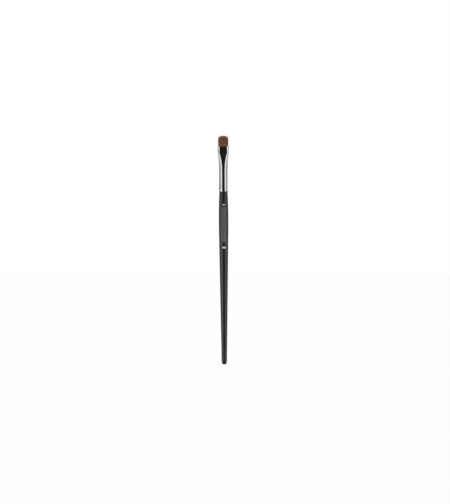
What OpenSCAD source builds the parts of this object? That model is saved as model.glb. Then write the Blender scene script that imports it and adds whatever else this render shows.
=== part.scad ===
// Flat eyeshadow brush: a turned wooden handle, a seamless tube ferrule that is pressed from round to
// flat, and a flat tuft of hair whose tied and resin-set root sits inside the tube.
// It stands along +Z with the hair up. The origin is the lowest point of the handle's rounded end.
// X runs across the wide side of the tuft and Y through its thickness.

/* [Handle] */
// Handle from its rounded end to the rim of the ferrule
handle_length = 132.2; // [110:0.1:160]
// Diameter at the fullest point of the belly
belly_d = 7.46; // [6.6:0.02:9]
// Distance from the rim of the ferrule down to the fullest point
belly_drop = 23; // [15:0.5:35]
// Diameter of the rounded end
end_d = 4.04; // [3:0.02:5.6]
// Full-width neck of the handle inside the rim
neck_length = 2; // [1:0.1:4]

/* [Ferrule] */
// Ferrule from its rim on the handle to its mouth
ferrule_length = 34.5; // [28:0.1:45]
// Outer diameter of the tube at the rim
rim_d = 6.83; // [6.6:0.01:7.4]
// Length over which the tube opens towards the rim
flare_length = 6.5; // [5:0.5:8]
// Outer diameter of the tube above that, up to where it starts to be pressed
barrel_d = 6.46; // [6:0.01:6.8]
// Thickness of the tube's wall
ferrule_wall = 0.25; // [0.2:0.01:0.35]
// Outer width across the mouth
mouth_w = 8.56; // [8.1:0.01:9.6]
// Width of each flat at the mouth
mouth_flat_w = 3.1; // [2:0.1:4.5]
// Outer width where the pressed flats end
flat_end_w = 8.32; // [7.3:0.01:8.5]
// Outer thickness from one flat to the other
flat_t = 3.32; // [3:0.01:4.2]
// Length of the pressed flats, from the mouth down
flat_length = 5.1; // [4:0.1:7]
// Length of the shoulder between the flats and the round tube
shoulder_length = 15.6; // [12:0.1:17]

/* [Hair] */
// Hair from the mouth of the ferrule to the tips
hair_out = 8.3; // [8:0.1:12]
// Width of the tuft above the mouth
tuft_w = 7.62; // [7:0.01:7.8]
// Thickness of the tuft at its knee, where it starts to thin out
knee_t = 2.3; // [1.8:0.05:2.6]
// Height of the knee above the mouth
knee_height = 3.6; // [2:0.1:4]
// Thickness of the tuft at its top edge
tip_t = 1.1; // [0.8:0.05:1.7]
// Height over which the top edge arches down to the sides
corner_height = 2.75; // [1.5:0.05:3.2]
// Drop from the middle layer's tips to the outer layers' tips
layer_drop = 0.6; // [0.2:0.05:0.9]
// Largest difference in length between neighbouring strands
uneven_height = 0.22; // [0:0.01:0.4]
// Distance between neighbouring strands at the mouth
strand_pitch = 0.25; // [0.245:0.005:0.3]
// Length of a strand's pointed tip
strand_tip = 0.6; // [0.2:0.05:0.9]

/* [Inside the ferrule] */
// Round tube between the top of the thread and the start of the shoulder
tie_drop = 1.1; // [0.5:0.1:3]
// Diameter of the thread that ties the root
thread_d = 0.3; // [0.2:0.01:0.4]
// Turns of the thread
thread_turns = 4; // [3:1:5]
// Root that shows below the thread
root_tail = 0.8; // [0.5:0.05:1.5]
// Depth of the setting resin below the root
resin_depth = 1.6; // [1:0.1:2.5]
// Air between the resin and the tenon's nose
nose_gap = 0.9; // [0.3:0.1:2]
// Thickness of the adhesive between the tenon and the tube
glue_t = 0.1; // [0.06:0.01:0.16]

/* [Hidden] */

// Clearances: a set film against its wall, the neck in the rim, and hair against the tube
film_gap = 0.01;
neck_gap = 0.02;
hair_gap = 0.03;
// Step by which the pressed part of the tube starts inside the round part, sideways and downwards
seam_step = 0.01;
// Depth of the top of the root below the mouth
mouth_recess = 0.25;
// Overrun of every cut past the face that it leaves by
overrun = 0.5;

// Heights of the stations along the brush
rim_z = handle_length;
flare_z = rim_z + flare_length;
mouth_z = rim_z + ferrule_length;
flat_z = mouth_z - flat_length;
press_z = flat_z - shoulder_length;
belly_z = rim_z - belly_drop;
neck_z = rim_z + neck_length;
tie_z = press_z - tie_drop;
thread_z = tie_z - thread_turns * thread_d;
root_z = thread_z - root_tail;
resin_z = root_z - resin_depth;
tenon_z = resin_z - nose_gap;
root_top_z = mouth_z - mouth_recess;
knee_z = mouth_z + knee_height;
tip_z = mouth_z + hair_out;

// Smoothness: facets of a full turn, of the belly's curve, of the shoulder and of the loft's outline
turn_facets = 96;
belly_steps = 24;
shoulder_steps = 10;
outline_count = 64;

// Round handle. The belly is one long arc from the rim, and a straight taper leaves it as a tangent
end_r = end_d / 2;
belly_r = belly_d / 2;
swell = belly_r - bore_r(rim_z) + neck_gap;
swell_r = (belly_drop * belly_drop + swell * swell) / (2 * swell);
belly_to_end = [swell_r - belly_r, belly_z - end_r];
taper_a = atan2(belly_to_end[1], belly_to_end[0]) - acos((swell_r - end_r) / norm(belly_to_end));
taper_z = belly_z - swell_r * sin(taper_a);

// How the width, the thickness and the flats grow up the shoulder, each as a power of the way up it
width_power = 2;
thickness_power = 2.4;
flat_power = 3.4;

// Turns in degrees that spread the strands' lengths without a visible pattern
uneven_turns = [137, 71];
// Share of its cell that a strand fills, each way
strand_share = 0.64;
// How far from the middle plane the corners of the root's grid lie, as a share of half its thickness
corner_share = 0.75;

// Value between a and b at a share of the way
function between(a, b, share) = a + (b - a) * share;

// Outer width, thickness and flat width of the tube at height z. Down the shoulder the flats close
// first, and then the oval rounds off, so that the tube keeps its girth
function tube_size(z) =
    let (press = (z - press_z) / shoulder_length, flat_end = [flat_end_w, flat_t, flat_end_w - flat_t])
    z >= flat_z ? between(flat_end, [mouth_w, flat_t, mouth_flat_w], (z - flat_z) / flat_length)
    : z >= press_z ? [between(barrel_d, flat_end[0], pow(press, width_power)),
                      between(barrel_d, flat_end[1], pow(press, thickness_power)),
                      flat_end[2] * pow(press, flat_power)]
    : [1, 1, 0] * between(rim_d, barrel_d, min(1, (z - rim_z) / flare_length));

// The same, drawn in by an inset on every side
function inset_size(z, inset) = tube_size(z) - [2, 2, 0] * inset;

// Radius of the tube's round bore at height z
function bore_r(z) = tube_size(z)[0] / 2 - ferrule_wall;

// Heights at which a wall that follows the round bore has a corner
function bore_heights(low, high) = concat(low, low < flare_z && flare_z < high ? flare_z : [], high);

// Radius of the belly's long arc at height z
function arc_r(z) = belly_r - swell_r + sqrt(swell_r * swell_r - (z - belly_z) * (z - belly_z));

// A pressed tube's outline has two flats and two half-oval ends. Its quarter starts at the middle of an
// end and runs to the middle of a flat
function end_size(size) = [size[0] - size[2], size[1]] / 2;
function bend_length(size) = PI / 4 * (end_size(size)[0] + end_size(size)[1]);
function quarter_length(size) = bend_length(size) + size[2] / 2;

// Point at a share of the first quarter
function quarter_point(size, share) =
    let (end = end_size(size), bend = bend_length(size), run = share * quarter_length(size))
    run < bend ? [size[2] / 2 + end[0] * cos(90 * run / bend), end[1] * sin(90 * run / bend)]
    : [size[2] / 2 + bend - run, end[1]];

// Point on the whole outline, where turn runs from 0 to 4 quarters, anticlockwise from +X
function outline_point(size, turn) =
    let (quarter = floor(turn) % 4, share = turn - floor(turn))
    let (p = quarter_point(size, quarter % 2 == 0 ? share : 1 - share))
    [quarter == 1 || quarter == 2 ? -p[0] : p[0], quarter >= 2 ? -p[1] : p[1]];

// How far round the outline a point on it lies, in quarters
function turn_of(size, p) =
    let (end = end_size(size), bend = bend_length(size), past = abs(p[0]) - size[2] / 2)
    let (run = past > 0 ? bend * atan2(abs(p[1]) / end[1], past / end[0]) / 90 : bend - past)
    let (share = run / quarter_length(size))
    p[1] >= 0 ? (p[0] >= 0 ? share : 2 - share) : (p[0] < 0 ? 2 + share : 4 - share);

// Ring of points at one height
function ring(size, turns, z) = [for (turn = turns) concat(outline_point(size, turn), z)];

// Triangles of the walls between stacked rings, of the lid on the last and of the floor under the first
function wall_faces(count, first, bands) =
    [for (b = [0 : bands - 1], k = [0 : count - 1])
        let (low = first + b * count, next = (k + 1) % count)
        each [[low + k, low + count + k, low + next],
              [low + next, low + count + k, low + count + next]]];
function lid_faces(count, first) = [for (k = [1 : count - 2]) [first, first + k + 1, first + k]];
function floor_faces(count, first) = [for (k = [1 : count - 2]) [first, first + k, first + k + 1]];

// Heights of the shoulder's sections, from the round tube up to the flats
shoulder_heights = [for (k = [0 : shoulder_steps]) press_z + shoulder_length * k / shoulder_steps];
outline_turns = [for (k = [0 : outline_count - 1]) 4 * k / outline_count];

// Solid inside the pressed part of the tube, drawn in by an inset, up to height top. It starts a step
// below the shoulder and a step inside the round part, so that the two join whatever their sizes
module pressed_core(inset, top) {
    heights = concat(press_z - seam_step, shoulder_heights, top);
    points = [for (z = heights)
        each ring(inset_size(z, inset + (z <= press_z ? seam_step : 0)), outline_turns, z)];
    bands = len(heights) - 1;
    polyhedron(points, concat(wall_faces(outline_count, 0, bands), floor_faces(outline_count, 0),
                              lid_faces(outline_count, bands * outline_count)));
}

// Solid inside the round part of the tube, drawn in by an inset, from a height up to the shoulder
module round_core(inset, bottom) {
    wall = [for (z = bore_heights(bottom, press_z)) [inset_size(z, inset)[0] / 2, z]];
    rotate_extrude($fn = turn_facets) polygon(concat([[0, bottom]], wall, [[0, press_z]]));
}

// Turned handle with its neck and tenon
module handle() {
    belly = [for (k = [0 : belly_steps]) let (z = between(taper_z, rim_z, k / belly_steps)) [arc_r(z), z]];
    tenon_inset = glue_t + 2 * film_gap;
    tenon = [for (z = bore_heights(neck_z, tenon_z)) [bore_r(z) - tenon_inset, z]];
    color("#2b2929") rotate_extrude($fn = turn_facets) {
        polygon(concat([[0, end_r], [end_r, end_r]], belly, [[bore_r(neck_z) - neck_gap, neck_z]], tenon,
                       [[0, tenon_z]]));
        intersection() {
            translate([0, end_r]) circle(r = end_r, $fn = turn_facets);
            square([end_r, end_r]);
        }
    }
}

// Sleeve of set adhesive between the tenon and the tube
module tenon_glue() {
    heights = bore_heights(neck_z + film_gap, tenon_z);
    outside = [for (z = heights) [bore_r(z) - film_gap, z]];
    inside = [for (k = [len(heights) - 1 : -1 : 0]) outside[k] - [glue_t, 0]];
    color("#c9a86a") rotate_extrude($fn = turn_facets) polygon(concat(outside, inside));
}

// Seamless tube, round over the handle and pressed flat at the mouth. The wall stays even
module ferrule() {
    color("#d9d8d7") difference() {
        union() {
            round_core(0, rim_z);
            pressed_core(0, mouth_z);
        }
        round_core(ferrule_wall, rim_z - overrun);
        pressed_core(ferrule_wall, mouth_z + overrun);
    }
}

// The tuft's outline at the mouth, and its grid of cells with one strand in each
root_size = inset_size(root_top_z, ferrule_wall + hair_gap);
root_end = end_size(root_size);
columns = floor(root_size[0] / strand_pitch);
rows = floor(root_size[1] / strand_pitch);

// Half the width of the outline at distance y from its middle plane
function half_width(y) = root_size[2] / 2 + root_end[0] * sqrt(1 - pow(y / root_end[1], 2));

// Half the thickness of the outline at distance x from its middle
function half_thickness(x) =
    root_end[1] * sqrt(1 - pow(max(0, abs(x) - root_size[2] / 2) / root_end[0], 2));

// Point on the root's top, i columns and j rows along. The grid's outer rows and columns bend with the
// outline, and whole numbers give the corners of its cells
function root_point(i, j) =
    let (u = between(-1, 1, i / columns), v = between(-1, 1, j / rows))
    let (corner_y = corner_share * root_end[1])
    [u * half_width(v * corner_y), v * half_thickness(u * half_width(corner_y))];

// Place of a strand in its cell, moved sideways in turn from row to row so that the strands are staggered
function strand_cell(i, j) = [i + 1 / 2 + (j % 2 == 0 ? 1 : -1) * (1 - strand_share) / 4, j + 1 / 2];
function strand_place(i, j) = let (c = strand_cell(i, j)) root_point(c[0], c[1]);

// How the tuft's outline at height z is scaled from its outline at the root's top
function tuft_scale(z) =
    let (knee = [tuft_w / root_size[0], knee_t / root_size[1]], tip = [knee[0], tip_t / root_size[1]])
    z <= knee_z ? between([1, 1], knee, (z - root_top_z) / (knee_z - root_top_z))
    : between(knee, tip, (z - knee_z) / (tip_z - knee_z));

// Height of a strand's tip. The top edge is half an ellipse, the outer layers end lower, and all are a
// little uneven
function strand_top(i, j) =
    let (p = strand_place(i, j), u = abs(p[0]) * 2 / root_size[0], v = abs(p[1]) * 2 / root_size[1])
    tip_z - corner_height * (1 - sqrt(1 - u * u)) - layer_drop * v * v
    - uneven_height * (1 + sin(uneven_turns[0] * i + uneven_turns[1] * j)) / 2;

// Point of the tuft above place p at height z
function tuft_point(p, z) = [p[0] * tuft_scale(z)[0], p[1] * tuft_scale(z)[1], z];

// A strand has three sides: rings at the root's top, at the knee and below its tip, and the tip
function strand_points(i, j) =
    let (c = strand_cell(i, j), r = strand_share / 2, top = strand_top(i, j))
    let (section = [for (side = [[-r, -r], [r, -r], [0, r]]) root_point(c[0] + side[0], c[1] + side[1])])
    concat([for (z = [root_top_z, knee_z, top - strand_tip], q = section) tuft_point(q, z)],
           [tuft_point(strand_place(i, j), top)]);

// Its walls, its tip and the seven triangles of its cell's floor round it, where a, b, c and d are the
// cell's corners
function strand_faces(s, a, b, c, d) =
    concat(wall_faces(3, s, 2), [for (k = [0 : 2]) [s + 6 + k, s + 9, s + 6 + (k + 1) % 3]],
           [[a, s + 1, b], [a, s, s + 1], [b, s + 2, c], [b, s + 1, s + 2], [c, s + 2, d],
            [d, s, a], [d, s + 2, s]]);

// Hair: the strands and the root that they grow from, in one piece. The root fills the flat mouth and
// runs down into the round tube, where the thread draws it in
module hair_tuft() {
    corner_points = [for (j = [0 : rows], i = [0 : columns]) concat(root_point(i, j), root_top_z)];
    across = columns + 1;
    strand_first = len(corner_points);
    strands = [for (j = [0 : rows - 1], i = [0 : columns - 1]) each strand_points(i, j)];
    per_strand = len(strand_points(0, 0));

    // Border of the grid, anticlockwise from the low corner at +X. The rings below keep every second
    // point of it, each at the same distance round the outline
    border = concat([for (j = [0 : rows - 1]) [columns, j]], [for (i = [0 : columns - 1]) [columns - i, rows]],
                    [for (j = [0 : rows - 1]) [0, rows - j]], [for (i = [0 : columns - 1]) [i, 0]]);
    border_index = [for (cell = border) cell[0] + cell[1] * across];
    ring_count = len(border) / 2;
    ring_turns = [for (k = [0 : ring_count - 1])
        turn_of(root_size, root_point(border[2 * k][0], border[2 * k][1]))];

    // Rings from the root's end up to the flats
    tied_r = bore_r(tie_z) - hair_gap - thread_d - film_gap;
    root_sizes = concat([[[2, 2, 0] * tied_r, root_z], [[2, 2, 0] * tied_r, tie_z]],
                        [for (z = concat(tie_z, shoulder_heights)) [inset_size(z, ferrule_wall + hair_gap), z]]);
    root_points = [for (s = root_sizes) each ring(s[0], ring_turns, s[1])];
    root_first = strand_first + len(strands);
    bands = len(root_sizes) - 1;
    last = root_first + bands * ring_count;

    color("#6d4e39") polyhedron(
        concat(corner_points, strands, root_points),
        concat(
            [for (j = [0 : rows - 1], i = [0 : columns - 1])
                let (a = i + j * across, s = strand_first + (i + j * columns) * per_strand)
                each strand_faces(s, a, a + 1, a + across + 1, a + across)],
            wall_faces(ring_count, root_first, bands),
            floor_faces(ring_count, root_first),
            [for (k = [0 : ring_count - 1])
                let (low = last + k, next = last + (k + 1) % ring_count)
                let (p = border_index[2 * k], q = border_index[2 * k + 1],
                     r = border_index[(2 * k + 2) % len(border)])
                each [[low, p, q], [low, q, next], [next, q, r]]]));
}

// Thread wound tight round the root, with its turns set together by the resin
module binding_thread() {
    r = thread_d / 2;
    middle = bore_r(tie_z) - hair_gap - r;
    color("#e6dfcd") rotate_extrude($fn = turn_facets) {
        for (k = [0 : thread_turns - 1])
            translate([middle, thread_z + r + k * thread_d]) circle(r = r, $fn = turn_facets);
        translate([middle - r / 2, thread_z + r]) square([r, (thread_turns - 1) * thread_d]);
    }
}

// Plug of set resin that closes the root's end and holds it in the tube
module root_resin() {
    high = thread_z - film_gap;
    pocket_r = bore_r(tie_z) - hair_gap - thread_d;
    wall = [for (z = bore_heights(resin_z, high)) [bore_r(z) - film_gap, z]];
    color("#b98a3c") rotate_extrude($fn = turn_facets)
        polygon(concat([[0, resin_z]], wall, [[pocket_r, high], [pocket_r, root_z - film_gap],
                                              [0, root_z - film_gap]]));
}

handle();
tenon_glue();
ferrule();
hair_tuft();
binding_thread();
root_resin();
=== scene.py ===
"""Dresses the flat eyeshadow brush: lacquered handle, plated ferrule and hair, in a plain bright studio.

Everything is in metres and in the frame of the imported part. Z runs along the brush towards the hair, X
across the wide side of the tuft and Y through its thickness, with the front towards -Y.
"""

import functools
import logging
import math
from collections.abc import Sequence
from dataclasses import dataclass
from enum import Enum
from typing import TypeVar

import bmesh
import bpy
import numpy as np
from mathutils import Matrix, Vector

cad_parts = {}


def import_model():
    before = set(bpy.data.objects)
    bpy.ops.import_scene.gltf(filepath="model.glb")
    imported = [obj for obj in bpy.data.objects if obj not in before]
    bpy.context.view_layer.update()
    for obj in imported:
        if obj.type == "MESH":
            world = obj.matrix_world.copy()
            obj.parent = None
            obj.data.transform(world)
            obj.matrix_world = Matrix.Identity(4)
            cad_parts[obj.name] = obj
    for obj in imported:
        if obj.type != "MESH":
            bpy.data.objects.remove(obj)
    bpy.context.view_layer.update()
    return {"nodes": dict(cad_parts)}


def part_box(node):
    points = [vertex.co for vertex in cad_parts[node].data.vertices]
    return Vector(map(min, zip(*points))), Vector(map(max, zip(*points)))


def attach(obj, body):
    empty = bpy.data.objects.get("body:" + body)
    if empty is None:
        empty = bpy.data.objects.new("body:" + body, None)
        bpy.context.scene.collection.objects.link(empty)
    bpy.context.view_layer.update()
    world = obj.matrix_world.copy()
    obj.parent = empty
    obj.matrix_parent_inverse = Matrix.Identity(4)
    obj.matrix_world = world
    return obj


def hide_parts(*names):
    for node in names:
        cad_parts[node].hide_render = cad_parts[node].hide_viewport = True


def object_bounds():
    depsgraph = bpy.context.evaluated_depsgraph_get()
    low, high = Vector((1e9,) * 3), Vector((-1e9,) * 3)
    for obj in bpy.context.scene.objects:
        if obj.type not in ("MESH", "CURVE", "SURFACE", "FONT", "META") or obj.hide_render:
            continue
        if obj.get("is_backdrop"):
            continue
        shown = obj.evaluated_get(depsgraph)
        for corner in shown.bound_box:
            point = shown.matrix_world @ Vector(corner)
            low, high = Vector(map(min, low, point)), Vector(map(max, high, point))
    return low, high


LOG = logging.getLogger("brush")

MM = 0.001
BODY = "root"

Pair = tuple[float, float]
Colour = tuple[float, float, float]
Socket = bpy.types.NodeSocket
Inputs = dict[str | int, object]
Piece = bpy.types.Object
Material = bpy.types.Material
Amount = TypeVar("Amount", float, np.ndarray)


class Side(Enum):
    """The two sides of the brush's middle plane."""

    LEFT = -1
    RIGHT = 1


class Axis(Enum):
    """What a zone of the studio is bounded by. ROUND goes from 0 at the camera's side to 1 behind."""

    X = "X"
    Z = "Z"
    ROUND = "round"


def between(low: float, high: float, share: Amount) -> Amount:
    """Returns the value at a share of the way from low to high."""
    return low + (high - low) * share


def steps(low: float, high: float, count: int) -> list[float]:
    """Returns evenly spaced values from low up to, but without, high."""
    return [between(low, high, k / count) for k in range(count)]


def neutral(level: float) -> Colour:
    """Returns a colour without hue."""
    return (level,) * 3


class Nodes:
    """Adds nodes to one node tree and links them."""

    def __init__(self, tree: bpy.types.NodeTree) -> None:
        """Takes the tree of a material, a world or a group, and empties it."""
        self.tree = tree
        tree.nodes.clear()

    def feed(self, node: bpy.types.Node, inputs: Inputs) -> None:
        """Sets or links a node's inputs.

        Args:
            node: The node.
            inputs: For each socket a number, a colour, or another node's output that feeds it.
        """
        for key, value in inputs.items():
            socket = node.inputs[key]
            if isinstance(value, Socket):
                self.tree.links.new(value, socket)
            else:
                socket.default_value = (*value, 1.0) if socket.type == "RGBA" else value

    def add(self, kind: str, inputs: Inputs, **settings: object) -> bpy.types.Node:
        """Adds a node.

        Args:
            kind: Blender's name of the node type, after ShaderNode.
            inputs: What its sockets are fed.
            **settings: Attributes of the node, such as operation.

        Returns:
            The new node.
        """
        node = self.tree.nodes.new(f"ShaderNode{kind}")
        for name, value in settings.items():
            setattr(node, name, value)
        self.feed(node, inputs)
        return node

    def math(self, operation: str, *values: object) -> Socket:
        """Returns the result of a Math node on numbers or outputs."""
        return self.add("Math", dict(enumerate(values)), operation=operation).outputs[0]

    def blend(self, first: Socket, second: Socket, share: float) -> Socket:
        """Returns the sum of two masks, where the share is that of the second."""
        rest = self.math("MULTIPLY", first, 1 - share)
        return self.math("ADD", rest, self.math("MULTIPLY", second, share))

    def remap(self, value: Socket, start: float, end: float, low: float = 0.0, high: float = 1.0) -> Socket:
        """Returns a value mapped from one range to another and kept inside it."""
        return self.add("MapRange", {"Value": value, "From Min": start, "From Max": end,
                                     "To Min": low, "To Max": high}).outputs["Result"]

    def noise(self, place: Socket, scale: object, detail: float = 2.0, distortion: float = 0.0) -> Socket:
        """Returns a soft noise from 0 to 1."""
        return self.add("TexNoise", {"Vector": place, "Scale": scale, "Detail": detail,
                                     "Distortion": distortion}).outputs["Fac"]

    def mix(self, factor: object, first: object, second: object, blend: str = "MIX") -> Socket:
        """Returns a mix of two colours, where the factor is the share of the second."""
        return self.add("Mix", {0: factor, 6: first, 7: second}, data_type="RGBA",
                        blend_type=blend, clamp_factor=True).outputs[2]

    def ramp(self, factor: Socket, *stops: tuple[float, Colour]) -> Socket:
        """Adds a colour ramp.

        Args:
            factor: The output that drives it.
            *stops: Each stop's place from 0 to 1 and its colour.

        Returns:
            The colour that comes out.
        """
        node = self.add("ValToRGB", {"Fac": factor})
        elements = node.color_ramp.elements
        while len(elements) < len(stops):
            elements.new(1.0)
        for element, (place, colour) in zip(elements, stops, strict=True):
            element.position = place
            element.color = (*colour, 1.0)
        return node.outputs["Color"]


class Group(Nodes):
    """The nodes of a group that takes a place and numbers and gives masks."""

    def __init__(self, name: str, numbers: Sequence[str], masks: Sequence[str]) -> None:
        """Makes the group.

        Args:
            name: Its name.
            numbers: Names of the numbers.
            masks: Names of the masks.
        """
        super().__init__(bpy.data.node_groups.new(name, "ShaderNodeTree"))
        self.tree.interface.new_socket("Vector", in_out="INPUT", socket_type="NodeSocketVector")
        for way, labels in (("INPUT", numbers), ("OUTPUT", masks)):
            for label in labels:
                self.tree.interface.new_socket(label, in_out=way, socket_type="NodeSocketFloat")
        self.entry = self.tree.nodes.new("NodeGroupInput").outputs
        self.place = self.entry["Vector"]

    def give(self, masks: Inputs) -> bpy.types.NodeTree:
        """Feeds the masks, and returns the group."""
        self.feed(self.tree.nodes.new("NodeGroupOutput"), masks)
        return self.tree


class SurfaceEffects:
    """Shader node groups that more than one finish of the brush uses."""

    def __init__(self) -> None:
        """Builds fine lines along the brush, and the marks of handling: soft smudges and sparse dust."""
        lines = Group("lines_along", ["Across", "Along"], ["Mask"])
        across, along = lines.entry["Across"], lines.entry["Along"]
        stretch = lines.add("CombineXYZ", {0: across, 1: across, 2: along}).outputs[0]
        place = lines.add("VectorMath", {0: lines.place, 1: stretch}, operation="MULTIPLY")
        self.lines = lines.give({"Mask": lines.noise(place.outputs[0], scale=1.0)})
        marks = Group("handling_marks", ["Smudge Scale", "Dust Scale"], ["Smudge", "Dust"])
        speck = marks.add("TexVoronoi", {"Vector": marks.place, "Scale": marks.entry["Dust Scale"]},
                          feature="F1")
        self.handling = marks.give({
            "Smudge": marks.noise(marks.place, marks.entry["Smudge Scale"], detail=4.0, distortion=0.6),
            "Dust": marks.remap(speck.outputs["Distance"], 0.10, 0.04)})


class Surface(Nodes):
    """The nodes of one material, round its Principled shader."""

    def __init__(self, name: str, effects: SurfaceEffects) -> None:
        """Makes the material.

        Args:
            name: Its name.
            effects: The shared node groups.
        """
        self.material = bpy.data.materials.new(name)
        self.material.use_nodes = True
        super().__init__(self.material.node_tree)
        self.effects = effects
        self.place = self.add("TexCoord", {}).outputs["Object"]
        self.shader = self.add("BsdfPrincipled", {})
        self.add("OutputMaterial", {"Surface": self.shader.outputs[0]})

    def coat(self, inputs: Inputs) -> None:
        """Sets or links the shader's inputs."""
        self.feed(self.shader, inputs)

    def lines(self, across: float, along: float) -> Socket:
        """Returns the mask of fine lines along the brush, at the given scales."""
        return self.add("Group", {"Vector": self.place, "Across": across, "Along": along},
                        node_tree=self.effects.lines).outputs["Mask"]

    def marks(self, smudge_scale: float, dust_scale: float = 2200.0) -> tuple[Socket, Socket]:
        """Returns the masks of smudges and of dust, at the given scales."""
        inputs = {"Vector": self.place, "Smudge Scale": smudge_scale, "Dust Scale": dust_scale}
        return self.add("Group", inputs, node_tree=self.effects.handling).outputs[:2]

    def relief(self, height: Socket, depth: float, strength: float = 1.0) -> None:
        """Feeds a height from 0 to 1, as relief of a depth in metres, into the shader's normal."""
        bump = self.add("Bump", {"Height": height, "Distance": depth, "Strength": strength})
        self.coat({"Normal": bump.outputs[0]})


@dataclass(frozen=True)
class Finish:
    """What every finish of the brush has: a name and the first values of its surface."""

    name: str
    roughness: float
    metallic: float = 0.0
    ior: float = 1.5

    def dress(self, effects: SurfaceEffects) -> Material:
        """Makes the material.

        Args:
            effects: The shared node groups.

        Returns:
            The new material.
        """
        surface = Surface(self.name, effects)
        surface.coat({"Roughness": self.roughness, "Metallic": self.metallic, "IOR": self.ior})
        self.detail(surface)
        return surface.material

    def detail(self, surface: Surface) -> None:
        """Adds the finish's own colour, roughness and relief to the surface."""
        raise NotImplementedError


@dataclass(frozen=True)
class SatinLacquer(Finish):
    """Black lacquer over turned wood, rubbed to a satin sheen, with painted shade at the foot where its gloss
    fades out.
    """

    deep: Colour = (0.0105, 0.0100, 0.0102)
    thin: Colour = (0.0190, 0.0180, 0.0180)
    dust: Colour = (0.10, 0.098, 0.095)
    dust_cover: float = 0.35
    grain_share: float = 0.4
    peel_scale: float = 700.0
    peel_depth: float = 0.006 * MM
    gloss: float = 0.5
    coat_weight: float = 0.2
    coat_roughness: float = 0.14
    foot_shaded_top: float = 0.5 * MM
    foot_shade_end: float = 2.4 * MM

    def detail(self, surface: Surface) -> None:
        """Adds the lacquer's depth, its light orange peel, the marks of handling and the painted shade at the
        foot.

        Args:
            surface: The material's nodes.
        """
        smudge, dust = surface.marks(smudge_scale=70.0, dust_scale=1900.0)
        depth = surface.blend(smudge, surface.lines(across=1500.0, along=60.0), self.grain_share)
        colour = surface.ramp(depth, (0.38, self.deep), (0.64, self.thin))
        height = surface.add("SeparateXYZ", {0: surface.place}).outputs["Z"]
        surface.coat({
            "Base Color": surface.mix(surface.math("MULTIPLY", dust, self.dust_cover), colour, self.dust),
            "Roughness": surface.remap(smudge, 0.3, 0.7, self.roughness - 0.05, self.roughness + 0.06),
            # Painted shade: gloss and coat fade out towards the foot, in place of the floor's contact shadow
            # in the reflection.
            "Specular IOR Level": surface.remap(height, self.foot_shaded_top, self.foot_shade_end, high=self.gloss),
            "Coat Weight": surface.remap(height, self.foot_shaded_top, self.foot_shade_end, high=self.coat_weight),
            "Coat Roughness": self.coat_roughness})
        surface.relief(surface.noise(surface.place, self.peel_scale), self.peel_depth)


@dataclass(frozen=True)
class NickelPlate(Finish):
    """Bright nickel plate on a drawn tube."""

    clean: Colour = (0.80, 0.79, 0.77)
    dull: Colour = (0.70, 0.685, 0.66)
    line_share: float = 0.3
    line_depth: float = 0.0016 * MM

    def detail(self, surface: Surface) -> None:
        """Adds the drawing lines along the tube and the smudges of fingers.

        Args:
            surface: The material's nodes.
        """
        smudge, _ = surface.marks(smudge_scale=160.0)
        lines = surface.lines(across=9000.0, along=160.0)
        spread = surface.blend(smudge, lines, self.line_share)
        surface.coat({
            "Base Color": surface.ramp(smudge, (0.35, self.clean), (0.75, self.dull)),
            "Roughness": surface.remap(spread, 0.35, 0.7, self.roughness - 0.03, self.roughness + 0.07)})
        surface.relief(lines, self.line_depth, strength=0.6)


@dataclass(frozen=True)
class HairFinish(Finish):
    """Fine brown hair with amber tips. The piece's UV map holds each hair's tone and its share of length."""

    root: Colour = (0.245, 0.132, 0.078)
    middle: Colour = (0.210, 0.098, 0.050)
    dark: Colour = (0.160, 0.073, 0.042)
    tip: Colour = (0.40, 0.19, 0.060)
    end: Colour = (0.55, 0.32, 0.12)
    darker: Colour = (0.60, 0.57, 0.55)
    lighter: Colour = (1.70, 1.40, 1.04)
    sheen: Colour = (0.85, 0.48, 0.20)
    shift: float = 0.07
    shuffle: float = 37.0
    scale_depth: float = 0.004 * MM

    def detail(self, surface: Surface) -> None:
        """Adds the colour along each hair, the difference from hair to hair, painted light at the sides and
        the scaly relief.

        Args:
            surface: The material's nodes.
        """
        chart = surface.add("UVMap", {}, uv_map="hair").outputs[0]
        tone, along = surface.add("SeparateXYZ", {0: chart}).outputs[:2]
        own = surface.math("FRACT", surface.math("MULTIPLY", tone, self.shuffle))
        reach = surface.math("MULTIPLY_ADD", surface.math("SUBTRACT", own, 0.5), self.shift, along)
        colour = surface.ramp(reach, (0.0, self.root), (0.30, self.middle), (0.72, self.dark),
                              (0.91, self.middle), (0.965, self.tip), (1.0, self.end))
        # The lighter end of this ramp also carries the painted light on the tuft's side hairs.
        shade = surface.ramp(tone, (0.0, self.darker), (0.5, neutral(1.0)), (1.0, self.lighter))
        surface.coat({
            "Base Color": surface.mix(1.0, colour, shade, blend="MULTIPLY"), "Specular IOR Level": 0.35,
            "Sheen Weight": 0.25, "Sheen Roughness": 0.4, "Sheen Tint": self.sheen})
        surface.relief(surface.lines(across=9000.0, along=4000.0), self.scale_depth, strength=0.5)


@dataclass(frozen=True)
class SilverInk(Finish):
    """Satin silver-grey ink, laid on the lacquer. Its two tones follow soft smudges."""

    light: Colour = (0.56, 0.555, 0.545)
    deep: Colour = (0.34, 0.335, 0.33)
    smudge_scale: float = 900.0
    tones: Pair = (0.42, 0.68)
    depth: float = 0.003 * MM
    strength: float = 0.5

    def detail(self, surface: Surface) -> None:
        """Adds the two tones and the relief of the smudges.

        Args:
            surface: The material's nodes.
        """
        smudge, _ = surface.marks(self.smudge_scale)
        surface.coat({"Base Color": surface.ramp(smudge, *zip(self.tones, (self.light, self.deep)))})
        surface.relief(smudge, self.depth, self.strength)


@dataclass(frozen=True)
class SetResin(SilverInk):
    """Amber resin or adhesive, set inside the tube. It is clouded in the same way as the ink."""

    light: Colour = (0.55, 0.30, 0.07)
    deep: Colour = (0.34, 0.15, 0.03)
    smudge_scale: float = 500.0
    tones: Pair = (0.35, 0.7)
    depth: float = 0.02 * MM
    strength: float = 0.4


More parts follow.
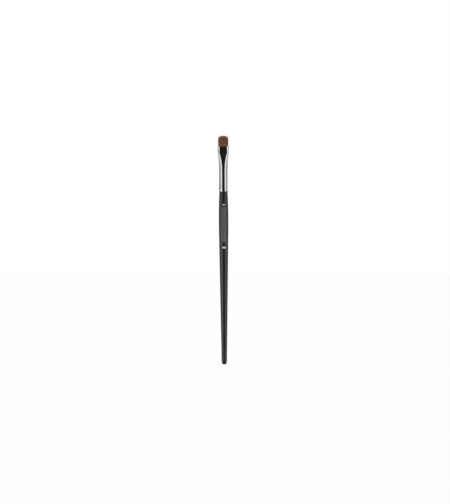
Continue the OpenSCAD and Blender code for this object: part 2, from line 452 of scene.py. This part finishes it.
@dataclass(frozen=True)
class WaxedThread(Finish):
    """Waxed cotton thread, wound tight."""

    light: Colour = (0.78, 0.73, 0.60)
    deep: Colour = (0.50, 0.45, 0.34)
    twist_scale: float = 1000.0
    fibre_depth: float = 0.02 * MM

    def detail(self, surface: Surface) -> None:
        """Adds the twist of the thread's fibres.

        Args:
            surface: The material's nodes.
        """
        inputs = {"Vector": surface.place, "Scale": self.twist_scale, "Distortion": 1.5}
        twist = surface.add("TexWave", inputs, bands_direction="DIAGONAL").outputs["Fac"]
        surface.coat({"Base Color": surface.ramp(twist, (0.2, self.deep), (0.8, self.light))})
        surface.relief(twist, self.fibre_depth, strength=0.5)


class Bench:
    """Modelling steps with Blender's operators, on the active piece."""

    EPSILON = 5e-6
    SAME_POINT = 1e-6
    CAP_SHARE = 0.02
    SMOOTH_ANGLE = math.radians(35.0)

    @staticmethod
    def clear() -> None:
        """Leaves edit mode and deselects every object."""
        if bpy.context.mode != "OBJECT":
            bpy.ops.object.mode_set(mode="OBJECT")
        bpy.ops.object.select_all(action="DESELECT")

    @staticmethod
    def edit_all() -> None:
        """Enters edit mode with everything selected."""
        bpy.ops.object.mode_set(mode="EDIT")
        bpy.ops.mesh.select_all(action="SELECT")

    @staticmethod
    def named(name: str, size: Pair = (1.0, 1.0)) -> Piece:
        """Names the active piece, sizes it and gives it the brush's own origin.

        Args:
            name: The piece's name.
            size: Its size along its own first two axes, as factors.

        Returns:
            The piece.
        """
        piece = bpy.context.object
        piece.name = name
        piece.data.name = name
        piece.scale = (*size, 1.0)
        bpy.ops.object.transform_apply(location=True, rotation=True, scale=True)
        return piece

    @classmethod
    def select(cls, low: float, high: float, side: Side | None = None) -> None:
        """Selects the vertices from one height to another, and the edges and faces between them.

        Args:
            low: The lower height.
            high: The upper height.
            side: The only side that is selected, or None for both.
        """
        data = bpy.context.object.data
        mesh = bmesh.from_edit_mesh(data)
        for vertex in mesh.verts:
            reached = low - cls.EPSILON < vertex.co.z < high + cls.EPSILON
            vertex.select_set(reached and (side is None or vertex.co.x * side.value > 0))
        mesh.select_flush_mode()
        bmesh.update_edit_mesh(data)

    @staticmethod
    def carry_ring(low: float, high: float, wide: float = 1.0, thick: float = 1.0) -> None:
        """Extrudes the selected ring from one height to another and scales it along X and Y."""
        bpy.ops.mesh.extrude_region_move(TRANSFORM_OT_translate={"value": (0, 0, high - low)})
        bpy.ops.transform.resize(value=(wide, thick, 1), center_override=(0, 0, high))

    @classmethod
    def close_ring(cls, z: float) -> None:
        """Closes the selected ring at height z with a fan of faces round a small flat."""
        cls.carry_ring(z, z, cls.CAP_SHARE, cls.CAP_SHARE)
        bpy.ops.mesh.edge_face_add()

    @classmethod
    def turn(cls, *rings: Pair) -> None:
        """Carries the selected round ring through heights and radii, and closes the last one.

        Args:
            *rings: Each ring's height and radius, from that of the selected ring on.
        """
        for (low, old_r), (high, new_r) in zip(rings, rings[1:]):
            cls.carry_ring(low, high, new_r / old_r, new_r / old_r)
        cls.close_ring(rings[-1][0])

    @classmethod
    def finish(cls) -> None:
        """Merges doubles, turns the faces outwards and shades the piece smooth."""
        cls.edit_all()
        bpy.ops.mesh.remove_doubles(threshold=cls.SAME_POINT)
        bpy.ops.mesh.normals_make_consistent(inside=False)
        bpy.ops.object.mode_set(mode="OBJECT")
        bpy.ops.object.shade_smooth_by_angle(angle=cls.SMOOTH_ANGLE)

    @staticmethod
    def modify(kind: str, **settings: object) -> None:
        """Adds a modifier and applies it.

        Args:
            kind: Blender's name of the modifier type.
            **settings: The modifier's settings.
        """
        modifier = bpy.context.object.modifiers.new(kind.lower(), kind)
        for name, value in settings.items():
            setattr(modifier, name, value)
        bpy.ops.object.modifier_apply(modifier=modifier.name)

    @staticmethod
    def dress(piece: Piece, material: Material) -> None:
        """Gives a piece or a node its only material and reports it.

        Args:
            piece: The piece or node.
            material: The material.
        """
        piece.data.materials.clear()
        piece.data.materials.append(material)
        LOG.info("%s: %d faces, %s", piece.name, len(piece.data.polygons), material.name)

    @classmethod
    def hand_over(cls, piece: Piece, material: Material, slot: str, *replaced: str) -> None:
        """Gives a finished piece its body and its material, and hides the nodes that it stands for.

        Args:
            piece: The piece.
            material: The material.
            slot: A material slot's name, which is not used.
            *replaced: The nodes.
        """
        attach(piece, BODY)
        if replaced:
            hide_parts(*replaced)
        cls.dress(piece, material)


@dataclass
class PressedTube:
    """The form of the ferrule's tube, round at the rim and pressed flat at the mouth."""

    flare_length: float = 6.5 * MM
    barrel_d: float = 6.46 * MM
    wall: float = 0.25 * MM
    mouth_flat_w: float = 3.1 * MM
    flat_t: float = 3.32 * MM
    flat_end_w: float = 8.32 * MM
    flat_length: float = 5.1 * MM
    shoulder_length: float = 15.6 * MM
    width_power: float = 2.0
    thickness_power: float = 2.4
    flat_power: float = 3.4

    def __post_init__(self) -> None:
        """Reads the tube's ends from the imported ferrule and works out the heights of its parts."""
        low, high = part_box("ferrule")
        self.rim_z = low.z
        self.rim_d = high.y - low.y
        self.flare_z = self.rim_z + self.flare_length
        self.mouth_z = high.z
        self.mouth_w = high.x - low.x
        self.flat_z = self.mouth_z - self.flat_length
        self.press_z = self.flat_z - self.shoulder_length

    def size(self, z: float) -> tuple[float, float, float]:
        """Gives the outer size of the tube, which keeps its girth: the flats close first, then the oval.

        Args:
            z: Height.

        Returns:
            The width along X, the thickness along Y and the width of the flats.
        """
        round_d = between(self.rim_d, self.barrel_d, min(1.0, (z - self.rim_z) / self.flare_length))
        press = min(1.0, max(0.0, (z - self.press_z) / self.shoulder_length))
        rise = max(0.0, (z - self.flat_z) / self.flat_length)
        pressed_w = between(self.flat_end_w, self.mouth_w, rise)
        flat_w = between(self.flat_end_w - self.flat_t, self.mouth_flat_w, rise)
        return (between(round_d, pressed_w, press**self.width_power),
                between(round_d, self.flat_t, press**self.thickness_power),
                flat_w * press**self.flat_power)

    def bore_r(self, z: float) -> float:
        """Returns the radius of the round bore at height z."""
        return self.size(z)[0] / 2 - self.wall


@dataclass
class PressedLoft:
    """Raises a wall whose rings follow the tube, drawn in by an inset."""

    tube: PressedTube
    inset: float = 0.0
    points_round: int = 96

    def ring(self, z: float) -> tuple[float, float, float]:
        """Returns the half axes of a ring's half-oval ends, and how far each end lies from the middle."""
        width, thickness, flat_w = self.tube.size(z)
        return (width - flat_w) / 2 - self.inset, thickness / 2 - self.inset, flat_w / 2

    def build(self, name: str, heights: Sequence[float]) -> Piece:
        """Raises the wall from a round ring, turned by half a step so that no vertex is in the middle.

        Args:
            name: The piece's name.
            heights: The rings' heights, each above the one before.

        Returns:
            The piece, in edit mode with its last ring selected.
        """
        Bench.clear()
        bpy.ops.mesh.primitive_circle_add(
            vertices=self.points_round, radius=self.ring(heights[0])[0], fill_type="NOTHING",
            location=(0, 0, heights[0]), rotation=(0, 0, math.pi / self.points_round))
        piece = Bench.named(name)
        Bench.edit_all()
        for low, high in zip(heights, heights[1:]):
            old_w, old_t, old_half = self.ring(low)
            new_w, new_t, new_half = self.ring(high)
            Bench.carry_ring(low, high, new_w / old_w, new_t / old_t)
            parting = new_half - old_half * new_w / old_w
            if abs(parting) > Bench.EPSILON:
                for side in Side:
                    Bench.select(high, high, side)
                    bpy.ops.transform.translate(value=(parting * side.value, 0, 0))
                Bench.select(high, high)
        return piece


@dataclass
class Handle:
    """The turned handle with its neck and tenon."""

    tube: PressedTube
    lacquer: Material
    belly_drop: float = 23.0 * MM
    end_d: float = 4.04 * MM
    neck_length: float = 2.0 * MM
    neck_gap: float = 0.02 * MM
    glue_t: float = 0.12 * MM
    print_t: float = 0.012 * MM
    belly_rings: int = 30
    taper_rings: int = 14
    points_round: int = 72
    end_rings: int = 32

    def __post_init__(self) -> None:
        """Reads the handle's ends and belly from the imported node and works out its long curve."""
        low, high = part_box("handle")
        self.belly_r = min(high.x, high.y) - self.print_t
        self.tenon_z = high.z
        self.end_r = self.end_d / 2
        self.rim_z = self.tube.rim_z
        self.belly_z = self.rim_z - self.belly_drop
        swell = self.belly_r - self.tube.bore_r(self.rim_z) + self.neck_gap
        self.swell_r = (self.belly_drop**2 + swell**2) / (2 * swell)
        across, along = self.swell_r - self.belly_r, self.belly_z - self.end_r
        slope = math.atan2(along, across) - math.acos((self.swell_r - self.end_r) / math.hypot(across, along))
        self.taper_z = self.belly_z - self.swell_r * math.sin(slope)

    def radius(self, z: float) -> float:
        """Gives the handle's radius between its rounded end and the rim.

        Args:
            z: Height.

        Returns:
            The radius.
        """
        if z >= self.taper_z:
            return self.belly_r - self.swell_r + math.sqrt(self.swell_r**2 - (z - self.belly_z) ** 2)
        share = (z - self.end_r) / (self.taper_z - self.end_r)
        return between(self.end_r, self.radius(self.taper_z), share)

    def rings(self) -> list[Pair]:
        """Gives the rings from the rounded end to the end of the tenon.

        Returns:
            The height and radius of each.
        """
        taper = steps(self.end_r, self.taper_z, self.taper_rings)
        belly = steps(self.taper_z, self.rim_z, self.belly_rings)
        bore_r, neck_z = self.tube.bore_r, self.rim_z + self.neck_length
        return [*((z, self.radius(z)) for z in (*taper, *belly, self.rim_z)),
                (neck_z, bore_r(neck_z) - self.neck_gap),
                *((z, bore_r(z) - self.glue_t) for z in (neck_z, self.tube.flare_z, self.tenon_z))]

    def build(self) -> Piece:
        """Turns the handle, from a ball at its end up to the tenon.

        Returns:
            The handle.
        """
        Bench.clear()
        bpy.ops.mesh.primitive_uv_sphere_add(segments=self.points_round, ring_count=self.end_rings,
                                             radius=self.end_r, location=(0, 0, self.end_r))
        piece = Bench.named("handle_lacquered")
        bpy.ops.object.mode_set(mode="EDIT")
        Bench.select(self.end_r + 2 * Bench.EPSILON, self.end_d)
        bpy.ops.mesh.delete(type="VERT")
        Bench.select(self.end_r, self.end_r)
        Bench.turn(*self.rings())
        Bench.finish()
        Bench.hand_over(piece, self.lacquer, "handle_lacquer", "handle")
        return piece


@dataclass
class Ornament:
    """A plain printed ornament on the front of the belly.

    A pale lozenge stands at the top, below it a faint border of lozenge frames and beads, and a pale oval
    at the bottom. It stands where such a brush carries its print, and means nothing.
    """

    handle: Handle
    ground: Piece
    pale: Material
    faint: Material
    lozenge: Pair = (3.0 * MM, 1.1 * MM)
    lozenge_drop: float = 10.3 * MM
    oval: Pair = (3.0 * MM, 1.6 * MM)
    oval_drop: float = 42.9 * MM
    frame: Pair = (3.2 * MM, 2.5 * MM)
    bead: Pair = (0.78 * MM, 0.78 * MM)
    bead_aside: float = 1.152 * MM
    border_drop: float = 13.0 * MM
    step: float = 2.5 * MM
    count: int = 11
    line_w: float = 0.42 * MM
    aside: float = 0.28 * MM
    stand_off: float = 6.0 * MM
    ink_share: float = 0.9

    def motif(self, size: Pair, drop: float, corners: int, x: float = 0.0, line_w: float = 0.0) -> Piece:
        """Adds one flat motif in front of the handle.

        Args:
            size: Its width and height.
            drop: How far below the rim its middle lies.
            corners: Number of its corners, or many for an oval.
            x: Its distance from the ornament's middle line.
            line_w: Width of its line where it is an open frame, or 0 where it is filled.

        Returns:
            The motif.
        """
        Bench.clear()
        place = (self.aside + x, -self.stand_off, self.handle.rim_z - drop)
        bpy.ops.mesh.primitive_circle_add(vertices=corners, radius=0.5, fill_type="NGON", location=place,
                                          rotation=(math.pi / 2, 0, 0))
        piece = Bench.named("motif", size)
        Bench.edit_all()
        bpy.ops.mesh.inset(thickness=line_w or min(size) / 4, use_even_offset=True)
        if line_w:
            bpy.ops.mesh.delete(type="FACE")
        else:
            bpy.ops.mesh.poke()
        bpy.ops.mesh.select_all(action="SELECT")
        bpy.ops.mesh.subdivide(number_cuts=3 if corners == 4 else 1)
        bpy.ops.object.mode_set(mode="OBJECT")
        return piece

    def print_on(self, name: str, ink: Material, motifs: Sequence[Piece]) -> None:
        """Joins motifs, lays them on the handle and gives them the ink's thickness.

        Args:
            name: The piece's name.
            ink: Its material.
            motifs: The flat motifs.
        """
        Bench.clear()
        for motif in motifs:
            motif.select_set(True)
        bpy.context.view_layer.objects.active = motifs[0]
        bpy.ops.object.join()
        piece = Bench.named(name)
        print_t = self.handle.print_t
        Bench.modify("SHRINKWRAP", target=self.ground, wrap_method="PROJECT", use_project_y=True,
                     use_positive_direction=True, use_negative_direction=False, offset=print_t)
        Bench.modify("SOLIDIFY", thickness=print_t * self.ink_share, offset=-1)
        Bench.finish()
        Bench.hand_over(piece, ink, "handle_lacquer")

    def build(self) -> None:
        """Prints the lozenge and the oval in pale ink, and the border in faint ink."""
        ends = [self.motif(self.lozenge, self.lozenge_drop, 4), self.motif(self.oval, self.oval_drop, 32)]
        border = []
        for k in range(self.count):
            drop = self.border_drop + k * self.step
            border += [self.motif(self.frame, drop, 4, line_w=self.line_w), self.motif(self.bead, drop, 16)]
            if k < self.count - 1:
                border += [self.motif(self.bead, drop + self.step / 2, 16, x=side.value * self.bead_aside)
                           for side in Side]
        self.print_on("printed_ends", self.pale, ends)
        self.print_on("printed_border", self.faint, border)


@dataclass
class Ferrule:
    """The seamless tube, with an even wall and softened cut edges."""

    tube: PressedTube
    plate: Material
    rings: tuple[int, ...] = (4, 4, 32, 10)
    edge_round: float = 0.07 * MM
    edge_angle: float = math.radians(60)
    smooth_angle: float = math.radians(50)

    def build(self) -> None:
        """Raises the tube from its rim to its mouth and gives it its wall and its edges."""
        tube = self.tube
        ends = (tube.rim_z, tube.flare_z, tube.press_z, tube.flat_z, tube.mouth_z)
        heights = [z for low, high, count in zip(ends, ends[1:], self.rings) for z in steps(low, high, count)]
        piece = PressedLoft(tube).build("ferrule_tube", [*heights, tube.mouth_z])
        Bench.finish()
        Bench.modify("SOLIDIFY", thickness=tube.wall, offset=-1, use_even_offset=True, use_rim=True)
        Bench.modify("BEVEL", width=self.edge_round, segments=3, limit_method="ANGLE",
                     angle_limit=self.edge_angle)
        bpy.ops.object.shade_smooth_by_angle(angle=self.smooth_angle)
        Bench.hand_over(piece, self.plate, "ferrule_plate", "ferrule")


@dataclass
class Tuft:
    """The flat tuft: several thousand tapered hairs and the root that they grow from."""

    tube: PressedTube
    hair: Material
    tuft_w: float = 7.82 * MM
    widening: float = 1.8 * MM
    tip_t: float = 1.25 * MM
    thinning: float = 1.35
    arch_height: float = 2.8 * MM
    squareness: float = 2.2
    layer_drop: float = 0.32 * MM
    uneven: float = 0.09 * MM
    uneven_spread: Pair = (1.3, 3.0)
    sway: float = 0.09 * MM
    sway_through: float = 0.045 * MM
    sway_turn: float = 1.2 * math.pi
    sway_from: Pair = (0.25, 0.75)
    stray_share: float = 0.025
    stray_sway: float = 2.6
    spacing: float = 0.078 * MM
    loose: float = 0.3
    hair_d: float = 0.088 * MM
    hair_d_range: Pair = (0.8, 1.15)
    taper: tuple[tuple[float, ...], ...] = ((0.0, 0.6, 0.985, 1.0), (1.0, 1.0, 0.88, 0.6))
    rings: tuple[float, ...] = (0.0, 0.2, 0.42, 0.64, 0.84, 0.985, 1.0)
    hair_gap: float = 0.04 * MM
    start_depth: float = 1.2 * MM
    root_depth: float = 0.9 * MM
    root_rings: int = 12
    root_chart: Pair = (0.5, 0.1)
    tie_z: Pair = (1.05 * MM, 1.1 * MM)
    tie_depth: float = 0.36 * MM
    lit_side_start: float = 8 / 18
    lit_side_tone: float = 0.6
    lock_w: float = 0.55 * MM
    lock_tone: float = 0.08
    tone_range: Pair = (0.1, 0.9)
    tone_spread: Pair = (2.2, 2.2)
    seed: int = 21

    def __post_init__(self) -> None:
        """Reads the root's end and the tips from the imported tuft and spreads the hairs."""
        low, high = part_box("hair_tuft")
        self.root_z = low.z
        self.tip_z = high.z
        self.mouth_z = self.tube.mouth_z
        width, thickness, self.base_flat_w = self.tube.size(self.mouth_z)
        inset = 2 * (self.tube.wall + self.hair_gap)
        self.base_w = width - inset
        self.base_t = thickness - inset
        self.dice = np.random.default_rng(self.seed)
        self.roots = self.spread()

    def spread(self) -> np.ndarray:
        """Spreads the hairs' roots over the mouth in loose rows.

        Returns:
            A row of x and y for each hair.
        """
        edge = self.hair_d / 2
        row_step = self.spacing * math.sqrt(0.75)
        places = []
        for row, y in enumerate(np.arange(-self.base_t / 2 + edge, self.base_t / 2 - edge, row_step)):
            end = math.sqrt(max(0.0, 1 - (2 * y / self.base_t) ** 2))
            half = between(self.base_flat_w, self.base_w, end) / 2 - edge
            count = int(2 * half / self.spacing)
            x = (np.arange(count) + 0.5 + (row % 2) * 0.25) * 2 * half / count - half
            places.append(np.stack([np.clip(x, -half, half), np.full(count, y)], axis=1))
        roots = np.concatenate(places)
        return roots + self.dice.uniform(-self.loose, self.loose, roots.shape) * self.spacing

    def tops(self) -> np.ndarray:
        """Gives each hair's tip height, which follows the arched top edge.

        Returns:
            The heights.
        """
        u, v = np.clip(np.abs(self.roots) * 2 / (self.base_w, self.base_t), 0, 1).T
        arch = self.arch_height * (1 - (1 - u**self.squareness) ** (1 / self.squareness))
        short = self.uneven * self.dice.beta(*self.uneven_spread, len(self.roots))
        return self.tip_z - arch - self.layer_drop * v * v - short

    def tones(self) -> np.ndarray:
        """Gives each hair's tone, which changes softly in locks and is lighter at the tuft's sides as painted
        light.

        Returns:
            The tones, from 0 for the darkest hair to 1 for the lightest.
        """
        own = between(*self.tone_range, self.dice.beta(*self.tone_spread, len(self.roots)))
        width_share = np.abs(self.roots[:, 0]) / self.base_w
        # Painted light: the side hairs get a lighter tone, standing in for light that shines through them.
        side = np.interp(width_share, (self.lit_side_start, 0.5), (0.0, self.lit_side_tone))
        x, y = self.roots.T / self.lock_w
        return np.clip(own + side + self.lock_tone * np.sin(x + 1.5 * np.sin(1.3 * y + 0.8)), 0, 1)

    def scale_at(self, z: np.ndarray) -> tuple[np.ndarray, np.ndarray]:
        """Gives how much wider and thinner the tuft is than at the mouth.

        Args:
            z: Heights.

        Returns:
            The factors along X and along Y.
        """
        rise = z - self.mouth_z
        widening = np.sin(np.clip(rise / self.widening, 0, 1) * math.pi / 2)
        thinning = np.clip(rise / (self.tip_z - self.mouth_z), 0, 1) ** self.thinning
        return between(1, self.tuft_w / self.base_w, widening), between(1, self.tip_t / self.base_t, thinning)

    def build_hairs(self) -> None:
        """Models one hair with operators, then copies it along every hair's own line in one mesh."""
        template, faces = self.one_hair()
        across, through, share = template.T
        dice, roots, tops = self.dice, self.roots, self.tops()
        count = len(roots)
        start = self.mouth_z - self.start_depth
        z = start + share * (tops - start)[:, None]
        wide, thin = self.scale_at(z)
        bend = dice.uniform(-1, 1, (count, 2)) * (self.sway, self.sway_through)
        phase = dice.uniform(0, math.pi, (count, 1))
        turn = dice.uniform(0, 2 * math.pi, (count, 1))
        thick = self.hair_d * dice.uniform(*self.hair_d_range, (count, 1)) * np.interp(share, *self.taper)
        bend *= np.where(dice.random((count, 1)) < self.stray_share, self.stray_sway, 1.0)
        wave = np.sin(share * self.sway_turn + phase) * np.interp(share, self.sway_from, (0, 1))
        cos, sin = np.cos(turn), np.sin(turn)
        x = roots[:, :1] * wide + bend[:, :1] * wave + (across * cos - through * sin) * thick
        y = roots[:, 1:] * thin + bend[:, 1:] * wave + (across * sin + through * cos) * thick
        points = np.stack([x, y, z], axis=2).reshape(-1, 3)
        triangles = (faces + np.arange(count)[:, None, None] * len(share)).reshape(-1, 3)
        mesh = bpy.data.meshes.new("hairs")
        mesh.from_pydata(points.tolist(), [], triangles.tolist())
        mesh.shade_smooth()
        piece = bpy.data.objects.new("hairs", mesh)
        bpy.context.scene.collection.objects.link(piece)
        self.chart(piece, np.stack([np.repeat(self.tones(), len(share)), np.tile(share, count)], axis=1))
        Bench.hand_over(piece, self.hair, "brush_hair", "hair_tuft")

    def one_hair(self) -> tuple[np.ndarray, np.ndarray]:
        """Models one hair as a three-sided cone, one long and one across, cut into rings.

        Returns:
            Its vertices, with z as the share of its length, and its triangles.
        """
        Bench.clear()
        bpy.ops.mesh.primitive_circle_add(vertices=3, radius=0.5, fill_type="NOTHING")
        piece = Bench.named("hair_pattern")
        Bench.edit_all()
        for low, high in zip(self.rings, self.rings[1:]):
            Bench.carry_ring(low, high)
        bpy.ops.mesh.merge(type="CENTER")
        bpy.ops.mesh.select_all(action="SELECT")
        bpy.ops.mesh.quads_convert_to_tris()
        bpy.ops.mesh.normals_make_consistent(inside=False)
        bpy.ops.object.mode_set(mode="OBJECT")
        points = np.array([vertex.co[:] for vertex in piece.data.vertices])
        faces = np.array([face.vertices[:] for face in piece.data.polygons])
        bpy.data.objects.remove(piece)
        return points, faces

    @staticmethod
    def chart(piece: Piece, values: np.ndarray) -> None:
        """Writes each vertex's tone and share of length into a UV map."""
        corners = values[[loop.vertex_index for loop in piece.data.loops]].astype(np.float32)
        piece.data.uv_layers.new(name="hair").uv.foreach_set("vector", corners.ravel())

    def build_root(self) -> None:
        """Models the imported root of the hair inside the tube, drawn in where the thread ties it."""
        press_z = self.tube.press_z
        top = self.mouth_z - self.root_depth
        loft = PressedLoft(self.tube, inset=self.tube.wall + self.hair_gap)
        piece = loft.build("hair_root", [*steps(press_z, top, self.root_rings), top])
        Bench.close_ring(top)
        full_r = self.tube.bore_r(press_z) - self.hair_gap
        tied_r = full_r - self.tie_depth
        tie_start, tie_end = self.tie_z
        Bench.select(press_z, press_z)
        Bench.turn((press_z, full_r), (press_z - tie_start, full_r), (press_z - tie_end, tied_r),
                   (self.root_z, tied_r))
        Bench.finish()
        self.chart(piece, np.tile(self.root_chart, (len(piece.data.vertices), 1)))
        Bench.hand_over(piece, self.hair, "brush_hair")


@dataclass
class InnerParts:
    """The hidden nodes inside the ferrule, which keep their solids and get their finishes."""

    nodes: dict[str, Piece]
    finishes: tuple[tuple[str, Finish], ...] = (
        ("tenon_glue", SetResin("wood_adhesive", roughness=0.35, light=(0.62, 0.45, 0.20),
                                deep=(0.45, 0.30, 0.12))),
        ("root_resin", SetResin("setting_resin", roughness=0.15)),
        ("binding_thread", WaxedThread("waxed_thread", roughness=0.6)))

    def build(self, effects: SurfaceEffects) -> None:
        """Dresses each node, with the help of the shared node groups."""
        for name, finish in self.finishes:
            Bench.dress(self.nodes[name], finish.dress(effects))


@dataclass(frozen=True)
class Zone:
    """A part of the studio with its own colour, which sets in between two values along each axis."""

    colour: Colour
    bounds: tuple[tuple[Axis, float, float], ...]
    share: float = 1.0

    def mask(self, nodes: Nodes, way: dict[Axis, Socket]) -> Socket:
        """Returns the zone's mask, from a direction's value along each axis."""
        masks = [nodes.remap(way[axis], start, end) for axis, start, end in self.bounds]
        return functools.reduce(functools.partial(nodes.math, "MULTIPLY"), masks, self.share)


@dataclass(frozen=True)
class Walls:
    """The walls of the studio, as reflections see them.

    A dark wall stands behind the camera, with a bright panel on each side. The left panel is lighter low
    down. The far walls are grey, with a darker zone on the left, a pale one on the right, a window behind
    the brush, a rail along the sides, a pale ceiling and a pale table.
    """

    dark: Colour = neutral(0.012)
    panel: Colour = (1.18, 1.17, 1.14)
    grey: Colour = (0.36, 0.35, 0.34)
    back: Colour = (0.28, 0.275, 0.27)
    lit: Zone = Zone((1.85, 1.84, 1.80), ((Axis.X, -0.05, -0.2), (Axis.Z, 0.02, -0.01)))
    zones: tuple[Zone, ...] = (
        Zone(neutral(0.14), ((Axis.X, 0.0, -0.2), (Axis.Z, 0.045, 0.065), (Axis.ROUND, 0.50, 0.62))),
        Zone(neutral(1.05), ((Axis.X, 0.0, 0.2), (Axis.Z, 0.058, 0.068), (Axis.Z, 0.084, 0.074),
                             (Axis.ROUND, 0.54, 0.66))),
        Zone((0.85, 0.84, 0.82), ((Axis.Z, 0.0, -0.08), (Axis.ROUND, 0.86, 0.92))),
        Zone((0.80, 0.79, 0.77), ((Axis.Z, 0.038, 0.024), (Axis.Z, -0.02, 0.004), (Axis.ROUND, 0.38, 0.46))),
        Zone(neutral(0.7), ((Axis.Z, 0.55, 0.9),)),
        Zone((0.80, 0.79, 0.77), ((Axis.Z, -0.2, -0.6),), share=0.6))

    def build(self, nodes: Nodes) -> Socket:
        """Builds the walls' colours.

        Args:
            nodes: The world's nodes.

        Returns:
            The colour in each direction.
        """
        direction = nodes.add("TexCoord", {}).outputs["Generated"]
        x, y, z = nodes.add("SeparateXYZ", {0: direction}).outputs
        turn = nodes.math("ABSOLUTE", nodes.math("ARCTAN2", x, nodes.math("MULTIPLY", y, -1.0)))
        way = {Axis.X: x, Axis.Z: z, Axis.ROUND: nodes.math("DIVIDE", turn, math.pi)}
        plain, lit = (nodes.ramp(
            way[Axis.ROUND], (0.0, self.dark), (0.190, self.dark), (0.247, panel), (0.36, panel),
            (0.43, self.grey), (0.58, self.back), (0.86, self.back), (1.0, self.grey))
            for panel in (self.panel, self.lit.colour))
        colour = nodes.mix(self.lit.mask(nodes, way), plain, lit)
        for zone in self.zones:
            colour = nodes.mix(zone.mask(nodes, way), colour, zone.colour)
        return colour


@dataclass
class Studio:
    """The pale floor, the soft light round the brush and the camera of the photograph."""

    frame_px: Pair = (450.0, 504.0)
    brush_px: Pair = (135.56, 364.34)
    middle_px: float = 223.76
    roll_degrees: float = 0.29
    lens_mm: float = 100.0
    sensor_mm: float = 36.0
    floor_r: float = 5.0
    ambient: float = 0.62
    sun_strength: float = 0.95
    sun_angle: float = 55.0
    floor_glow: float = 0.64
    floor_albedo: float = 0.35
    suns: tuple[tuple[float, float, float], ...] = ((-46.0, 42.0, 0.95), (44.0, 44.0, 0.92))

    def camera(self) -> None:
        """Places the camera so that the brush has the photograph's size, place and lean."""
        low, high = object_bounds()
        (width, height), (top, foot) = self.frame_px, self.brush_px
        scale = (high.z - low.z) / (foot - top)
        distance = self.lens_mm / self.sensor_mm * height * scale
        x = (width / 2 - self.middle_px) * scale
        z = (high.z + low.z) / 2 + (top + foot - height) / 2 * scale
        data = bpy.data.cameras.new("camera")
        data.lens = self.lens_mm
        data.sensor_width = self.sensor_mm
        data.clip_start = 0.01
        data.clip_end = 50.0
        camera = bpy.data.objects.new("camera", data)
        camera.location = (x, -distance, z)
        camera.rotation_euler = (math.pi / 2, math.radians(self.roll_degrees), 0)
        bpy.context.scene.collection.objects.link(camera)
        bpy.context.scene.camera = camera
        LOG.info("camera: %.3f m away, %.2f mm to a pixel", distance, scale / MM)

    @staticmethod
    def seen(nodes: Nodes) -> Socket:
        """Returns the mask of what the camera sees straight, or through something clear."""
        light = nodes.add("LightPath", {}).outputs
        return nodes.math("MAXIMUM", light["Is Camera Ray"], light["Is Transmission Ray"])

    def world(self) -> None:
        """Makes the surroundings: white to the camera, the walls in reflections, and else plain light."""
        world = bpy.data.worlds.new("studio")
        world.use_nodes = True
        bpy.context.scene.world = world
        nodes = Nodes(world.node_tree)
        reflected = nodes.add("LightPath", {}).outputs["Is Glossy Ray"]
        colour = nodes.mix(reflected, neutral(self.ambient), Walls().build(nodes))
        colour = nodes.mix(self.seen(nodes), colour, neutral(1.0))
        background = nodes.add("Background", {"Color": colour})
        nodes.add("OutputWorld", {"Surface": background.outputs[0]})

    def lamps(self) -> None:
        """Adds two broad soft lamps in front of the brush, one on each side."""
        for number, (azimuth, elevation, share) in enumerate(self.suns):
            data = bpy.data.lights.new(f"lamp_{number}", "SUN")
            data.energy = self.sun_strength * share
            data.angle = math.radians(self.sun_angle)
            lamp = bpy.data.objects.new(data.name, data)
            lamp.rotation_euler = (math.radians(90.0 - elevation), 0, math.radians(azimuth))
            lamp.visible_glossy = False
            bpy.context.scene.collection.objects.link(lamp)

    def floor(self) -> None:
        """Adds the floor that the brush stands on. It is white and keeps the brush's soft shadow."""
        Bench.clear()
        bpy.ops.mesh.primitive_circle_add(vertices=96, radius=self.floor_r, fill_type="NGON")
        floor = Bench.named("floor")
        material = bpy.data.materials.new("pale_floor")
        material.use_nodes = True
        nodes = Nodes(material.node_tree)
        speckle = nodes.noise(nodes.add("TexCoord", {}).outputs["Object"], scale=300.0)
        tint = nodes.ramp(speckle, (0.3, neutral(0.79)), (0.7, neutral(0.81)))
        bounce = nodes.add("BsdfDiffuse", {"Color": tint})
        shaded = nodes.add("BsdfDiffuse", {"Color": neutral(self.floor_albedo)})
        glow = nodes.add("Emission", {"Color": neutral(1.0), "Strength": self.floor_glow})
        white = nodes.add("AddShader", {0: shaded.outputs[0], 1: glow.outputs[0]})
        shown = nodes.add("MixShader", {0: self.seen(nodes), 1: bounce.outputs[0], 2: white.outputs[0]})
        nodes.add("OutputMaterial", {"Surface": shown.outputs[0]})
        floor.data.materials.append(material)
        floor.visible_glossy = False
        floor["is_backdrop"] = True

    def build(self) -> None:
        """Makes the whole studio."""
        bpy.context.scene.view_settings.view_transform = "Standard"
        self.camera()
        self.world()
        self.lamps()
        self.floor()


def main() -> None:
    """Builds the studio and each sub-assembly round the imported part."""
    logging.basicConfig(level=logging.INFO, format="%(name)s: %(message)s")
    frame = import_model()
    Studio().build()
    effects = SurfaceEffects()
    tube = PressedTube()
    handle = Handle(tube, SatinLacquer("satin_black_lacquer", roughness=0.26, ior=1.6).dress(effects))
    turned = handle.build()
    silver = SilverInk("silver_ink", roughness=0.4)
    grey = SilverInk("grey_ink", roughness=0.5, light=(0.17, 0.168, 0.165), deep=(0.085, 0.084, 0.082))
    Ornament(handle, turned, silver.dress(effects), grey.dress(effects)).build()
    Ferrule(tube, NickelPlate("nickel_plate", roughness=0.13, metallic=1.0).dress(effects)).build()
    tuft = Tuft(tube, HairFinish("brown_hair", roughness=0.5).dress(effects))
    tuft.build_root()
    tuft.build_hairs()
    InnerParts(frame["nodes"]).build(effects)
    Bench.clear()


if __name__ == "__main__":
    main()
